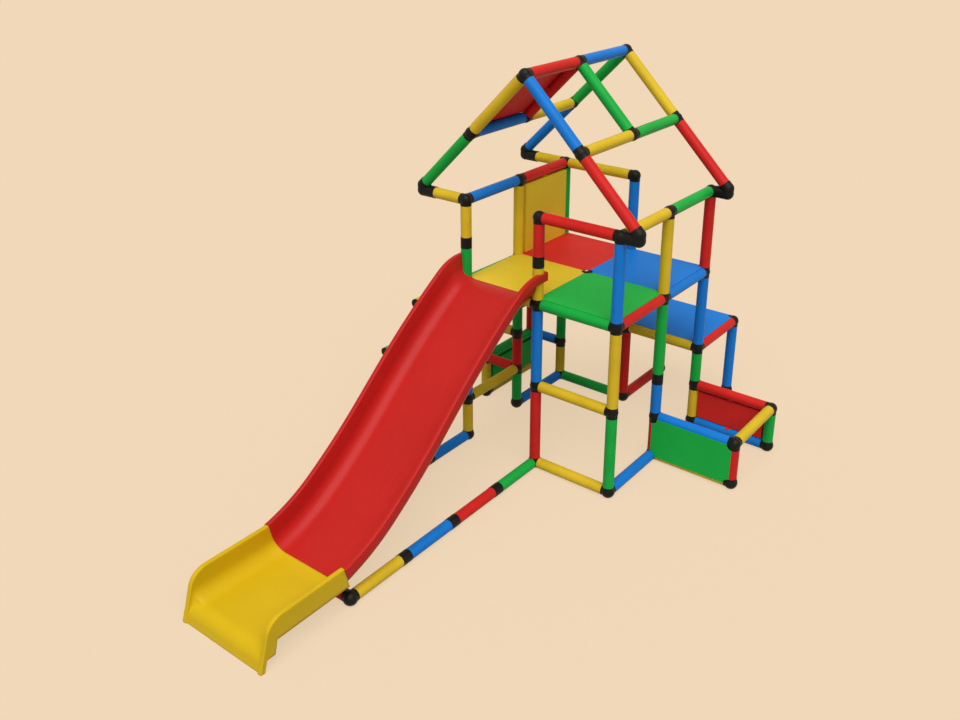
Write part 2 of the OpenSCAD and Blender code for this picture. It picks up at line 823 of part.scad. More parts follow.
module long_slide() {
    tail_cut_z = floor_z + slide_wall_h - flange_depth;
    color(RED)
        difference() {
            union() {
                slide_shell();
                slide_clip(-saddle_x);
                slide_clip(saddle_x);
            }
            translate([slide_x - bay, 0, floor_z - shell_t - tube_d])
                cube([2 * bay, 2 * tail_len, tube_d]);
            translate([slide_x - bay, 0, floor_z - shell_t - 1])
                cube([2 * bay, 2 * tail_len, tail_cut_z - floor_z + shell_t + 1]);
            edge_tube(deck);
            for (p = [A, F]) {
                translate(at(p, deck))
                    cylinder(r = collar_r + post_gap, h = tube_r + 3 * shell_t);
                translate(at(p, deck))
                    cylinder(r = tube_r + post_gap, h = half_bay);
            }
            lap_screw_holes();
        }
}

// Space of the tube under the slide's top, with the clip's clearance
module edge_tube(z) {
    translate([left_x, front_y, z])
        rotate([0, 90, 0])
            cylinder(r = tube_r + saddle_gap - seat_gap / 2, h = bay);
}

function behind_end(t, back) = slide_end + t * normal(end_angle) - back * ahead(end_angle);

// Side outline of the run-out above the ground
function runout_outline(inset) =
    let (
        start = slide_end + lap_gap * ahead(end_angle),
        rim_at = (rim_z - inset - start[1]) / cos(end_angle),
        top = start + rim_at * normal(end_angle),
        corner = nose_p - [0, nose_r]
    )
    concat(
        [top],
        [for (q = arc([0, 0], nose_r - inset, 90, 90 - nose_angle, 8)) corner + [-q[0], q[1]]],
        [tip_p + [inset / sin(nose_angle), 0]]
    );

// Rims, which widen to the floor's edges where the walls run out near the ground
module runout_rims() {
    outer = runout_outline(0);
    inner = runout_outline(shell_t);
    band = concat(outer, [for (i = [len(inner) - 1:-1:0]) inner[i]]);
    flange_z = rim_z - runout_flange;
    start = slide_end + lap_gap * ahead(end_angle);
    flange_foot = start + (flange_z - start[1]) / cos(end_angle) * normal(end_angle);
    leg_y = nose_p[0] - leg_back;
    foot_y = tip_p[0] + leg_foot;
    cheek = concat(outer, [
        [foot_y, 0], [foot_y + leg_clear / tan(nose_angle), leg_clear],
        [leg_y - leg_lean, leg_clear], [leg_y, flange_z], flange_foot
    ]);
    difference() {
        side_plates(band, runout_half_w - runout_rim_w - floor_fillet, runout_half_w);
        runout_sweeps(room_section(rim_top), room_section(nose_top));
    }
    side_plates(cheek, runout_half_w - shell_t, runout_half_w);
}

// Sweeps along the run-out's floor: a low section in its bend, a high one from there on
module runout_sweeps(low_section, high_section) {
    sweep_up(slide_end, end_angle, 0, level_bend_r, low_section);
    sweep_straight(level_p, 0, level_p[0] - lip_p[0], high_section);
    sweep_down(lip_p, 0, nose_angle, lip_r, high_section);
    sweep_straight(lip_end, nose_angle, lip_len, high_section);
}

module runout_tray() {
    outline = concat(runout_outline(0), [[slide_end[0], 0], slide_end + lap_gap * ahead(end_angle)]);
    intersection() {
        runout_sweeps(tray_section(rim_top), tray_section(nose_top));
        side_plate(outline, -runout_half_w, runout_half_w);
    }
}

// Tongue under the end of the long slide, with the blocks that sit on the cross tube
module runout_lap() {
    sweep_up(lap_start, lap_angle, end_angle, last_r, strip_section(-lap_low, -shell_t - lap_gap));
    sweep_up(slide_end, end_angle, 0, level_bend_r, strip_section(-lap_low, -shell_t / 2));
    block_low = ground + tube_r / 2;
    block_back = behind_end(-shell_t - lap_gap - lap_t / 2, lap_len / 2);
    block_front = behind_end(-shell_t - lap_gap - lap_t / 2, -lap_len / 4);
    for (x = [-saddle_x, saddle_x])
        side_plate(
            [block_back, [block_back[0], block_low], [block_front[0], block_low], block_front],
            x - saddle_w / 2, x + saddle_w / 2
        );
}

module runout() {
    color(YELLOW)
        difference() {
            union() {
                runout_tray();
                runout_rims();
                runout_lap();
            }
            translate([left_x, rail_end_y, ground])
                rotate([0, 90, 0])
                    cylinder(r = tube_r + saddle_gap, h = bay);
            lap_screw_holes();
            translate([slide_x - bay, tip_p[0] - bay, -bay])
                cube([2 * bay, 2 * bay, bay]);
        }
}

// Places of the screws through the lap joint, square to the floor
module at_lap_screws() {
    c = behind_end(0, lap_len / 3);
    for (x = [-saddle_x + saddle_w, 0, saddle_x - saddle_w])
        translate([slide_x + x, c[0], c[1]])
            rotate([end_angle, 0, 0])
                children();
}

module lap_screw_holes() {
    at_lap_screws() {
        translate([0, 0, -lap_low - shell_t])
            cylinder(d = screw_d + 2 * screw_gap, h = lap_low + 2 * shell_t);
        translate([0, 0, -screw_head_t - screw_gap])
            cylinder(d1 = screw_d + 2 * screw_gap, d2 = screw_head_d + 2 * screw_gap, h = screw_head_t);
        translate([0, 0, -screw_gap])
            cylinder(d = screw_head_d + 2 * screw_gap, h = shell_t);
    }
}

screw_head_t = 3;
nut_t = 5;
module slide_screws() {
    color(RED)
        at_lap_screws() {
            translate([0, 0, -screw_head_t - screw_gap])
                cylinder(d1 = screw_d, d2 = screw_head_d, h = screw_head_t);
            translate([0, 0, -lap_low - nut_t])
                cylinder(d = screw_d, h = lap_low + nut_t - screw_gap);
            translate([0, 0, -lap_low - nut_t - screw_gap])
                cylinder(d = screw_head_d, h = nut_t);
        }
}

tubes(concat(POSTS_RED, SHORT_POSTS_RED), RED);  // posts_red
tubes(concat(POSTS_BLUE, SHORT_POSTS_BLUE), BLUE);  // posts_blue
tubes(POSTS_GREEN, GREEN);  // posts_green
tubes(POSTS_YELLOW, YELLOW);  // posts_yellow
tubes(GROUND_RED, RED);  // ground_beams_red
tubes(GROUND_BLUE, BLUE);  // ground_beams_blue
tubes(GROUND_GREEN, GREEN);  // ground_beams_green
tubes(GROUND_YELLOW, YELLOW);  // ground_beams_yellow
tubes(LOW_YELLOW, YELLOW);  // low_beams_yellow
tubes(STEP_YELLOW, YELLOW);  // step_beams_yellow
tubes(STEP_RED, RED);  // step_beam_red
tubes(STEP_GREEN, GREEN);  // step_beam_green
tubes(STEP_BLUE, BLUE);  // step_beam_blue
tubes(DECK_GREEN, GREEN);  // deck_beams_green
tubes(DECK_RED, RED);  // deck_beams_red
tubes(DECK_BLUE, BLUE);  // deck_beams_blue
tubes(DECK_YELLOW, YELLOW);  // deck_beams_yellow
tubes(RAIL_RED, RED);  // grip_rails_red
tubes(RAIL_BLUE, BLUE);  // grip_rail_blue
tubes(RAIL_YELLOW, YELLOW);  // grip_rails_yellow
tubes(RAIL_GREEN, GREEN);  // grip_rail_green
tubes(ROOF_RED, RED);  // roof_tubes_red
tubes(ROOF_BLUE, BLUE);  // roof_tubes_blue
tubes(ROOF_GREEN, GREEN);  // roof_tubes_green
tubes(ROOF_YELLOW, YELLOW);  // roof_tubes_yellow
tubes(RIGHT_WING_RED, RED);  // right_wing_red
tubes(RIGHT_WING_BLUE, BLUE);  // right_wing_blue
tubes(RIGHT_WING_GREEN, GREEN);  // right_wing_green
tubes(LEFT_WING_RED, RED);  // left_wing_red
tubes(LEFT_WING_BLUE, BLUE);  // left_wing_blue
tubes(LEFT_WING_GREEN, GREEN);  // left_wing_green
tubes(LEFT_WING_YELLOW, YELLOW);  // left_wing_yellow
tubes(FLOOR_RAIL_GREEN, GREEN);  // floor_rails_green
tubes(FLOOR_RAIL_RED, RED);  // floor_rails_red
tubes(FLOOR_RAIL_BLUE, BLUE);  // floor_rails_blue
tubes(FLOOR_RAIL_YELLOW, YELLOW);  // floor_rails_yellow
tubes(STRINGER, GREEN);  // rung_stringer
tubes([RUNGS[0]], YELLOW);  // upper_rung
tubes([RUNGS[1]], GREEN);  // lower_rung
rung_caps();
foot_joints();
couplings();
ball_joints(FRAME_JOINTS);  // frame_joints
deck_joints();
ball_joints(RAIL_JOINTS);  // rail_joints
ball_joints(ROOF_JOINTS);  // roof_joints
elbows();
deck_panel(F, deck, YELLOW);  // deck_panel_yellow
deck_panel(G, deck, RED);  // deck_panel_red
deck_panel(A, deck, GREEN);  // deck_panel_green
deck_panel(H, deck, BLUE);  // deck_panel_blue
deck_panel(J, step, BLUE);  // step_panel
wall_panel();
right_wing_panel_green();
right_wing_panel_red();
left_wing_panel();
roof_panel();
long_slide();
runout();
slide_screws();
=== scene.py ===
"""Tube climbing tower with a long red slide and a yellow run-out, in plain studio light."""
import bpy
import json
import math
import numpy as np
from mathutils import Matrix, Vector


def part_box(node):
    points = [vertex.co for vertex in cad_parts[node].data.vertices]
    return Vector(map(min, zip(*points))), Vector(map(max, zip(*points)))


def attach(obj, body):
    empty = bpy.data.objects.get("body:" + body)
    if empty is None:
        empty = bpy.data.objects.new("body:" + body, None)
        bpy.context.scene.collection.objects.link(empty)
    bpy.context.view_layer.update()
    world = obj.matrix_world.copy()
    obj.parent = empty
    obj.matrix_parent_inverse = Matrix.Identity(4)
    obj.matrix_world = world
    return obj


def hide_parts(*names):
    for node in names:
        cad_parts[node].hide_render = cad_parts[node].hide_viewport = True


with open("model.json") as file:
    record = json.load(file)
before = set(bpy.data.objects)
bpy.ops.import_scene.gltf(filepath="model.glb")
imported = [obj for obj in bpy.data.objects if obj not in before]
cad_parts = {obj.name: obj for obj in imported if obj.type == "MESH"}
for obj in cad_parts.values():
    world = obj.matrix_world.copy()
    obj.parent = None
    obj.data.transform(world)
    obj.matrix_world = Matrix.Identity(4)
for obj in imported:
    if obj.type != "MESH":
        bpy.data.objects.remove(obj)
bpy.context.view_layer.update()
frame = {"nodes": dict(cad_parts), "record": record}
nodes = frame["nodes"]
record = frame["record"]
slot_of = {s["node"]: s["material_slot"] for s in record["subparts"]}

# Base colours, linear: tubes and joints, the slide's two sheets, the panels
RED = (0.640, 0.020, 0.016)
BLUE = (0.010, 0.196, 0.640)
GREEN = (0.010, 0.402, 0.054)
YELLOW = (0.720, 0.490, 0.022)
BLACK = (0.006, 0.007, 0.007)
RED_SHEET = (0.495, 0.016, 0.013)
YELLOW_SHEET = (0.650, 0.430, 0.007)
# The panels are the tube colours made lighter: painted light that lifts the shade falling on them
# among the posts, tubes and roof
RED_PANEL_LIT = (0.700, 0.026, 0.022)
BLUE_PANEL_LIT = (0.012, 0.208, 0.680)
GREEN_PANEL_LIT = (0.015, 0.460, 0.064)
YELLOW_PANEL_LIT = (0.780, 0.545, 0.030)

# The slide's middle, and the distances from it over which the rubbing on its floor fades out
SLIDE_X = -0.2
WORN_FULL = 0.05
WORN_END = 0.17

# Corners of the CAD's surfaces: points this close are one, folds over this angle stay sharp
CORNER_GAP = 1e-5
CORNER_ANGLE = math.radians(32)


class Value:
    """A number socket that takes part in arithmetic; each operator adds one Math node."""

    def __init__(self, finish, socket):
        self.finish = finish
        self.socket = socket

    def _math(self, operation, *values, clamp=False):
        made = self.finish.node("ShaderNodeMath", {"operation": operation, "use_clamp": clamp},
                                {i: v for i, v in enumerate(values)})
        return Value(self.finish, made.outputs[0])

    def __add__(self, other):
        return self._math("ADD", self, other)

    def __radd__(self, other):
        return self._math("ADD", other, self)

    def __sub__(self, other):
        return self._math("SUBTRACT", self, other)

    def __rsub__(self, other):
        return self._math("SUBTRACT", other, self)

    def __mul__(self, other):
        return self._math("MULTIPLY", self, other)

    def __abs__(self):
        return self._math("ABSOLUTE", self)

    def clamped(self):
        return self._math("ADD", self, 0.0, clamp=True)

    def rises(self, low, high):
        """0 below low, 1 above high, a smooth step between them."""
        made = self.finish.node("ShaderNodeMapRange", {"interpolation_type": "SMOOTHSTEP"},
                                {"Value": self, "From Min": low, "From Max": high})
        return Value(self.finish, made.outputs["Result"])


class Finish:
    """A material whose nodes come from node() and whose patterns read Object coordinates."""

    def __init__(self, name):
        self.material = bpy.data.materials.new(name)
        self.material.use_nodes = True
        self.tree = self.material.node_tree
        self.surface = self.tree.nodes["Principled BSDF"]
        self.place = self.node("ShaderNodeTexCoord").outputs["Object"]
        parts = self.node("ShaderNodeSeparateXYZ", {}, {0: self.place})
        self.x = Value(self, parts.outputs["X"])

    def node(self, kind, settings=None, inputs=None):
        """One node of a kind: its settings are set first, then its sockets' values or links."""
        made = self.tree.nodes.new(kind)
        for key, value in (settings or {}).items():
            setattr(made, key, value)
        for key, value in (inputs or {}).items():
            self.put(made.inputs[key], value)
        return made

    def put(self, socket, value):
        """Links a socket to a value that comes from a node, or sets it to a plain one."""
        if isinstance(value, Value):
            value = value.socket
        if isinstance(value, bpy.types.NodeSocket):
            self.tree.links.new(value, socket)
        else:
            socket.default_value = value

    def scaled(self, x, y, z):
        """Object coordinates multiplied by one factor along each axis."""
        return self.node("ShaderNodeVectorMath", {"operation": "MULTIPLY"},
                         {0: self.place, 1: (x, y, z)}).outputs[0]

    def noise(self, scale, detail=2.0, roughness=0.5, at=None):
        """Smooth noise from 0 to 1 with scale cells to the metre."""
        made = self.node("ShaderNodeTexNoise", {"noise_dimensions": "3D"},
                         {"Vector": at or self.place, "Scale": scale, "Detail": detail,
                          "Roughness": roughness})
        return Value(self, made.outputs["Fac"])

    def mix(self, factor, one, two):
        """Colour one where factor is 0, colour two where it is 1. The node's colours are its
        inputs 6 and 7 and its output 2; the others are for numbers and vectors."""
        made = self.node("ShaderNodeMix", {"data_type": "RGBA"}, {0: factor, 6: one, 7: two})
        return made.outputs[2]

    def cloudy(self, cloud, colour, dark, light):
        """The colour times dark where the cloud noise is low, times light where it is high."""
        return self.mix(cloud.rises(0.3, 0.7), tint(colour, dark), tint(colour, light))

    def bump(self, height, distance):
        """Relief in the surface: the height's unit stands for a distance in metres."""
        made = self.node("ShaderNodeBump", {}, {"Height": height, "Distance": distance})
        self.put(self.surface.inputs["Normal"], made.outputs[0])

    def wear(self, **sockets):
        """Values or links for the surface's sockets, each named by its words in small letters."""
        for name, value in sockets.items():
            socket = name.replace("_", " ").title().replace("Ior", "IOR")
            self.put(self.surface.inputs[socket], value)


def tint(colour, factor):
    """The colour multiplied by a factor, kept at 1 or under."""
    return tuple(min(1.0, c * factor) for c in colour) + (1.0,)


def chalk(colour, grey, share):
    """The colour moved by a share of the way to a grey, as dull rubbed plastic shows it."""
    return tuple(c + (grey - c) * share for c in colour) + (1.0,)


def tube_plastic(name, colour):
    """Extruded tube: even colour, a faint cloudy tone, fine grain and a few dull rubbed spots."""
    f = Finish(name)
    cloud = f.noise(7.0, detail=3.0)
    rubbed = f.noise(34.0, detail=4.0, roughness=0.65).rises(0.60, 0.74)
    grain = f.noise(900.0, detail=1.0)
    waves = f.noise(60.0, detail=2.0)
    tone = f.cloudy(cloud, colour, dark=0.93, light=1.05)
    f.wear(base_color=f.mix(rubbed * 0.5, tone, chalk(colour, grey=0.5, share=0.04)),
           roughness=0.36 + rubbed * 0.14 + cloud * 0.05,
           specular_ior_level=0.10)
    f.bump(grain + waves * 2.5, distance=0.00006)
    return f.material


def joint_plastic(name, colour):
    """Moulded joint: near black, spark-eroded grain, greyer where hands and feet rub it."""
    f = Finish(name)
    rubbed = f.noise(45.0, detail=4.0, roughness=0.6).rises(0.52, 0.72)
    grain = f.noise(1400.0, detail=2.0)
    waves = f.noise(220.0, detail=2.0)
    f.wear(base_color=f.mix(rubbed * 0.7, tint(colour, 1.0), tint(colour, 1.7)),
           roughness=0.40 + rubbed * 0.12 + grain * 0.06,
           specular_ior_level=0.16)
    f.bump(grain + waves * 0.8, distance=0.00007)
    return f.material


def panel_plastic(name, colour):
    """Moulded panel: fine pebbled grain over a slightly wavy face, a little duller where rubbed."""
    f = Finish(name)
    cloud = f.noise(4.0, detail=3.0)
    rubbed = f.noise(11.0, detail=5.0, roughness=0.6).rises(0.50, 0.80)
    pebbles = f.noise(520.0, detail=2.0, roughness=0.6)
    waves = f.noise(9.0, detail=1.0)
    tone = f.cloudy(cloud, colour, dark=0.96, light=1.03)
    f.wear(base_color=f.mix(rubbed * 0.4, tone, chalk(colour, grey=0.5, share=0.03)),
           roughness=0.44 + rubbed * 0.10 + pebbles * 0.05,
           specular_ior_level=0.06)
    f.bump(pebbles + waves * 6.0, distance=0.00012)
    return f.material


def slide_plastic(name, colour):
    """Blow-moulded sheet: glossy, with long fine rubbing lines down the middle of the floor."""
    f = Finish(name)
    cloud = f.noise(3.0, detail=3.0)
    drawn_out = f.scaled(260.0, 5.0, 5.0)
    lines = f.noise(1.0, detail=4.0, roughness=0.7, at=drawn_out).rises(0.50, 0.80)
    middle = 1.0 - abs(f.x - SLIDE_X).rises(WORN_FULL, WORN_END)
    worn = lines * middle
    grain = f.noise(650.0, detail=1.0)
    waves = f.noise(14.0, detail=2.0)
    tone = f.cloudy(cloud, colour, dark=0.96, light=1.04)
    f.wear(base_color=f.mix(worn * 0.4, tone, chalk(colour, grey=0.55, share=0.07)),
           roughness=0.33 + worn * 0.12 + cloud * 0.05,
           specular_ior_level=0.14)
    f.bump(grain + waves * 5.0 - worn * 1.5, distance=0.00008)
    return f.material


finishes = {
    "red_plastic": tube_plastic("red_tube_plastic", RED),
    "blue_plastic": tube_plastic("blue_tube_plastic", BLUE),
    "green_plastic": tube_plastic("green_tube_plastic", GREEN),
    "yellow_plastic": tube_plastic("yellow_tube_plastic", YELLOW),
    "black_plastic": joint_plastic("black_joint_plastic", BLACK),
    "red_slide": slide_plastic("red_slide_sheet", RED_SHEET),
    "yellow_slide": slide_plastic("yellow_run_out_sheet", YELLOW_SHEET),
}
# Panel finishes in the lighter panel colours, which carry painted light against the shade on the
# panels
panel_finishes = {
    "red_plastic": panel_plastic("red_panel_plastic", RED_PANEL_LIT),
    "blue_plastic": panel_plastic("blue_panel_plastic", BLUE_PANEL_LIT),
    "green_plastic": panel_plastic("green_panel_plastic", GREEN_PANEL_LIT),
    "yellow_plastic": panel_plastic("yellow_panel_plastic", YELLOW_PANEL_LIT),
}


def dress(node):
    """Puts the finish on a CAD node and shades its curved faces smooth, edges kept sharp."""
    piece = nodes[node]
    slot = slot_of[node]
    chosen = panel_finishes[slot] if "panel" in node else finishes[slot]
    piece.data.materials.clear()
    piece.data.materials.append(chosen)
    faces = piece.data.polygons
    faces.foreach_set("use_smooth", np.ones(len(faces), bool))
    faces.foreach_set("material_index", np.zeros(len(faces), np.int32))
    weld = piece.modifiers.new("join_corners", "WELD")
    weld.merge_threshold = CORNER_GAP
    sharp = piece.modifiers.new("sharp_edges", "EDGE_SPLIT")
    sharp.split_angle = CORNER_ANGLE


for name in nodes:
    dress(name)

# The run-out, in metres. Its floor: from the lap with the long slide, round an upward bend to a
# level run, then over the lip and down its straight front to the ground
LAP_END = (-1.21286, 0.08041)
LAP_SLOPE = math.radians(13.0)
BEND_R = 0.300
FLOOR_Z = 0.07272
BEND_Y = -1.28034
LIP_Y = -1.58099
LIP_R = 0.060
NOSE_SLOPE = math.radians(73.0)
STOP_Z = 0.0022

# Its rim's outline, a level line that turns down round the nose, and the cheek's lower edge
RIM_Z = 0.19572
NOSE_Y = -1.53486
NOSE_R = 0.080
CHEEK_Z = 0.10272

# The cheek's stepped leg: lengths along the rim from the nose's centre on, and its foot there. The
# last foot belongs to the rim's end
LEG_AT = (0.0, 0.035, 0.102, 0.187)
LEG_Y = (NOSE_Y, -1.56786, -1.58186, -1.61952, -1.63340)
LEG_Z = (CHEEK_Z, CHEEK_Z, 0.047, 0.047, STOP_Z / 2)

# Across it: half widths, the floor's corner, the rim's rounding, the sheet's thickness. On a low
# wall the rounding takes at most one share of the height, the corner another share of the rest
TRAY_HALF = 0.201
RIM_HALF = 0.221
CORNER_R = 0.060
RIM_ROUND = 0.0055
SHEET = 0.005
ROUND_SHARE = 0.45
CORNER_SHARE = 0.8

# The least cosine that a height over the floor is divided by
LEAST_COSINE = 0.05

# The lap: radius of the long slide's last bend, and how far back the tongue reaches. The tongue:
# depths under the floor, half its width, the change of slope it skips where the sheets meet
SLIDE_END_R = 0.867
LAP_LEN = 0.060
TONGUE_LOW = 0.0093
TONGUE_HIGH = 0.0053
TONGUE_HALF = 0.140
TONGUE_SKIP = 0.004

# The saddles, the cross tube that they lie on, whose middle is at TUBE_Z, and the gap round it
SADDLE_X = 0.110
SADDLE_W = 0.024
SADDLE_GAP = 0.0003
TUBE_R = 0.025
TUBE_Z = 0.028

# The small bevel on tongue and saddles
BAR_ROUND = 0.0008
BAR_ANGLE = math.radians(40)

# Steps between points: along the tray, across its half, along the tongue and along a saddle
BEND_STEPS = 12
LEVEL_STEPS = 24
LIP_STEPS = 32
FRONT_STEPS = 8
FLAT_STEPS = 8
CORNER_STEPS = 12
WALL_STEPS = 6
ROUND_STEPS = 5
RIM_STEPS = 4
CHEEK_STEPS = 8
LAP_STEPS = 8
SADDLE_STEPS = 40

QUARTER = math.pi / 2


def steps(start, end, count):
    """Evenly spaced values from start to end, both included, with count steps between them."""
    return np.linspace(start, end, count + 1)


def upright(a):
    """Direction (y, z) square to a floor of slope a and away from it, upwards."""
    return np.stack([-np.sin(a), np.cos(a)], axis=-1)


def grid_piece(name, grid, finish, replaced):
    """Mesh of a grid of points, shape (rows, columns, 3): one quad between neighbours, seen from
    the side where a row's direction crossed with a column's direction points outwards."""
    rows, columns = grid.shape[:2]
    corner = np.arange(rows * columns).reshape(rows, columns)
    quads = np.stack([corner[:-1, :-1], corner[:-1, 1:], corner[1:, 1:], corner[1:, :-1]], axis=-1)
    return mesh_piece(name, grid.reshape(-1, 3), quads.reshape(-1, 4), finish, replaced)


def mesh_piece(name, points, faces, finish, replaced):
    """A smooth shaded mesh on the root body, in place of a CAD node."""
    mesh = bpy.data.meshes.new(name)
    mesh.from_pydata(points.tolist(), [], faces.tolist())
    mesh.polygons.foreach_set("use_smooth", np.ones(len(mesh.polygons), bool))
    mesh.materials.append(finish)
    piece = bpy.data.objects.new(name, mesh)
    bpy.context.scene.collection.objects.link(piece)
    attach(piece, "root")
    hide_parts(replaced)
    return piece


def tray_stations():
    """Floor points (y, z) and slopes a from the lap to the ground: an upward bend about a centre
    over the floor, a level run, the lip's bend about a centre under it, and the straight front."""
    bend = steps(LAP_SLOPE, 0.0, BEND_STEPS)[:-1]
    level = steps(BEND_Y, LIP_Y, LEVEL_STEPS)[:-1]
    lip = steps(0.0, NOSE_SLOPE, LIP_STEPS)
    front = steps(0.0, 1.0, FRONT_STEPS)[1:]
    lip_end = np.array([LIP_Y - LIP_R * math.sin(NOSE_SLOPE),
                        FLOOR_Z - LIP_R * (1.0 - math.cos(NOSE_SLOPE))])
    reach = (lip_end[1] - STOP_Z) / math.sin(NOSE_SLOPE)
    y = np.concatenate([BEND_Y + BEND_R * np.sin(bend), level, LIP_Y - LIP_R * np.sin(lip),
                        lip_end[0] - front * reach * math.cos(NOSE_SLOPE)])
    z = np.concatenate([FLOOR_Z + BEND_R * (1.0 - np.cos(bend)), np.full(level.size, FLOOR_Z),
                        FLOOR_Z - LIP_R * (1.0 - np.cos(lip)),
                        lip_end[1] - front * reach * math.sin(NOSE_SLOPE)])
    a = np.concatenate([bend, np.zeros(level.size), lip, np.full(front.size, NOSE_SLOPE)])
    return y, z, a


def rim_height(y, z, a):
    """Distance from each floor point, square to the floor, to the rim's outline: a level line,
    then a circle round the nose's centre, then the straight front that touches the circle."""
    up = upright(a)
    foot = np.stack([y, z], axis=-1)
    centre = np.array([NOSE_Y, RIM_Z - NOSE_R])
    level = (RIM_Z - z) / np.maximum(np.cos(a), LEAST_COSINE)
    along = ((centre - foot) * up).sum(-1)
    aside = ((centre - foot) ** 2).sum(-1) - along ** 2
    circle = along + np.sqrt(np.maximum(NOSE_R ** 2 - aside, 0.0))
    square = upright(NOSE_SLOPE)
    touch = centre + NOSE_R * square
    straight = ((touch - foot) @ square) / np.maximum(up @ square, LEAST_COSINE)
    hit = foot + circle[:, None] * up - centre
    turned = np.arctan2(-hit[:, 0], hit[:, 1])
    return np.where(turned <= 0.0, level, np.where(turned >= NOSE_SLOPE, straight, circle))


def cheek_foot(y, z, a, rim):
    """Lower edge of the side cheek for each point of the rim: on the same line square to the floor
    in the bend, straight under it on the level, then along the stepped leg by the rim's length."""
    length = np.concatenate([[0.0], np.cumsum(np.hypot(*np.diff(rim, axis=0).T))])
    length = length - np.interp(-NOSE_Y, -rim[:, 0], length)
    at = [*LEG_AT, length[-1]]
    leg = np.stack([np.interp(length, at, LEG_Y), np.interp(length, at, LEG_Z)], axis=-1)
    drop = (CHEEK_Z - z) / np.cos(a)
    bent = np.stack([y - drop * np.sin(a), z + drop * np.cos(a)], axis=-1)
    level = np.stack([rim[:, 0], np.full(y.size, CHEEK_Z)], axis=-1)
    placed = np.where((length < 0.0)[:, None], level, leg)
    return np.where((a > 0.0)[:, None] & (y > BEND_Y)[:, None], bent, placed)


def tray_half():
    """Half of the tray from its middle to the cheek's foot. Across: flat floor, a corner of radius
    r = h R / (h^4 + R^4)^(1/4) that shrinks with the wall's height h and leaves room for the rim's
    rounding, then wall, rounded rim and cheek."""
    y, z, a = tray_stations()
    h = rim_height(y, z, a)
    up = upright(a)
    floor = np.stack([y, z], axis=-1)
    rim = floor + h[:, None] * up
    foot = cheek_foot(y, z, a, rim)
    down = foot - rim
    deep = np.hypot(*down.T)
    down = down / deep[:, None]
    edge = np.minimum(RIM_ROUND, ROUND_SHARE * h)
    top = h - edge
    r = np.minimum(h * CORNER_R / (h ** 4 + CORNER_R ** 4) ** 0.25, CORNER_SHARE * top)
    rows = []
    for t in steps(0.0, 1.0, FLAT_STEPS)[:-1]:
        rows.append(((TRAY_HALF - r) * t, floor))
    for t in steps(0.0, QUARTER, CORNER_STEPS):
        rows.append((TRAY_HALF - r + r * math.sin(t),
                     floor + (r * (1.0 - math.cos(t)))[:, None] * up))
    for t in steps(0.0, 1.0, WALL_STEPS)[1:]:
        rows.append((np.full(h.size, TRAY_HALF), floor + (r + (top - r) * t)[:, None] * up))
    for t in steps(0.0, QUARTER, ROUND_STEPS)[1:]:
        rows.append((TRAY_HALF + edge * (1.0 - math.cos(t)),
                     rim - (edge * (1.0 - math.sin(t)))[:, None] * up))
    for t in steps(0.0, 1.0, RIM_STEPS)[1:-1]:
        rows.append((TRAY_HALF + edge + (RIM_HALF - TRAY_HALF - 2.0 * edge) * t, rim))
    for t in steps(0.0, QUARTER, ROUND_STEPS):
        rows.append((RIM_HALF - edge * (1.0 - math.sin(t)),
                     rim + (edge * (1.0 - math.cos(t)))[:, None] * down))
    for t in steps(0.0, 1.0, CHEEK_STEPS)[1:]:
        rows.append((np.full(h.size, RIM_HALF), rim + (edge + (deep - edge) * t)[:, None] * down))
    x = np.stack([row[0] for row in rows])
    place = np.stack([row[1] for row in rows])
    return np.concatenate([x[:, :, None], place], axis=-1)


def runout_tray():
    """Both halves of the tray as one sheet, given its wall towards the underside."""
    half = tray_half()
    other = half[:0:-1] * np.array([-1.0, 1.0, 1.0])
    grid = np.concatenate([other, half])
    grid[:, :, 0] += SLIDE_X
    piece = grid_piece("runout_tray", grid, finishes["yellow_slide"], "runout")
    wall = piece.modifiers.new("wall", "SOLIDIFY")
    wall.thickness = SHEET
    wall.offset = -1.0


def bar(name, x_from, x_to, low, high):
    """Closed bar between two curves (y, z) of equally many points: at each pair of points its cross
    section is the rectangle from x_from to x_to, and quads join the rectangles; both ends are shut."""
    y = np.stack([low[:, 0], low[:, 0], high[:, 0], high[:, 0]], axis=1)
    z = np.stack([low[:, 1], low[:, 1], high[:, 1], high[:, 1]], axis=1)
    x = np.broadcast_to([x_from, x_to, x_to, x_from], y.shape)
    count = len(low)
    corner = np.arange(4 * count).reshape(count, 4)
    after = np.roll(corner, -1, axis=1)
    sides = np.stack([corner[:-1], after[:-1], after[1:], corner[1:]], axis=-1).reshape(-1, 4)
    ends = np.stack([corner[0, ::-1], corner[-1]])
    points = np.stack([x, y, z], axis=-1).reshape(-1, 3)
    piece = mesh_piece(name, points, np.concatenate([sides, ends]), finishes["yellow_slide"],
                       "runout")
    edge = piece.modifiers.new("rounded_edges", "BEVEL")
    edge.width = BAR_ROUND
    edge.segments = 2
    edge.limit_method = "ANGLE"
    edge.angle_limit = BAR_ANGLE
    edge.harden_normals = True


def under_floor(a, centre, radius, depth):
    """Points at a depth under a floor that bends with a radius about a centre over it, at slopes a."""
    reach = radius + depth
    return np.stack([centre[0] + reach * np.sin(a), centre[1] - reach * np.cos(a)], axis=-1)


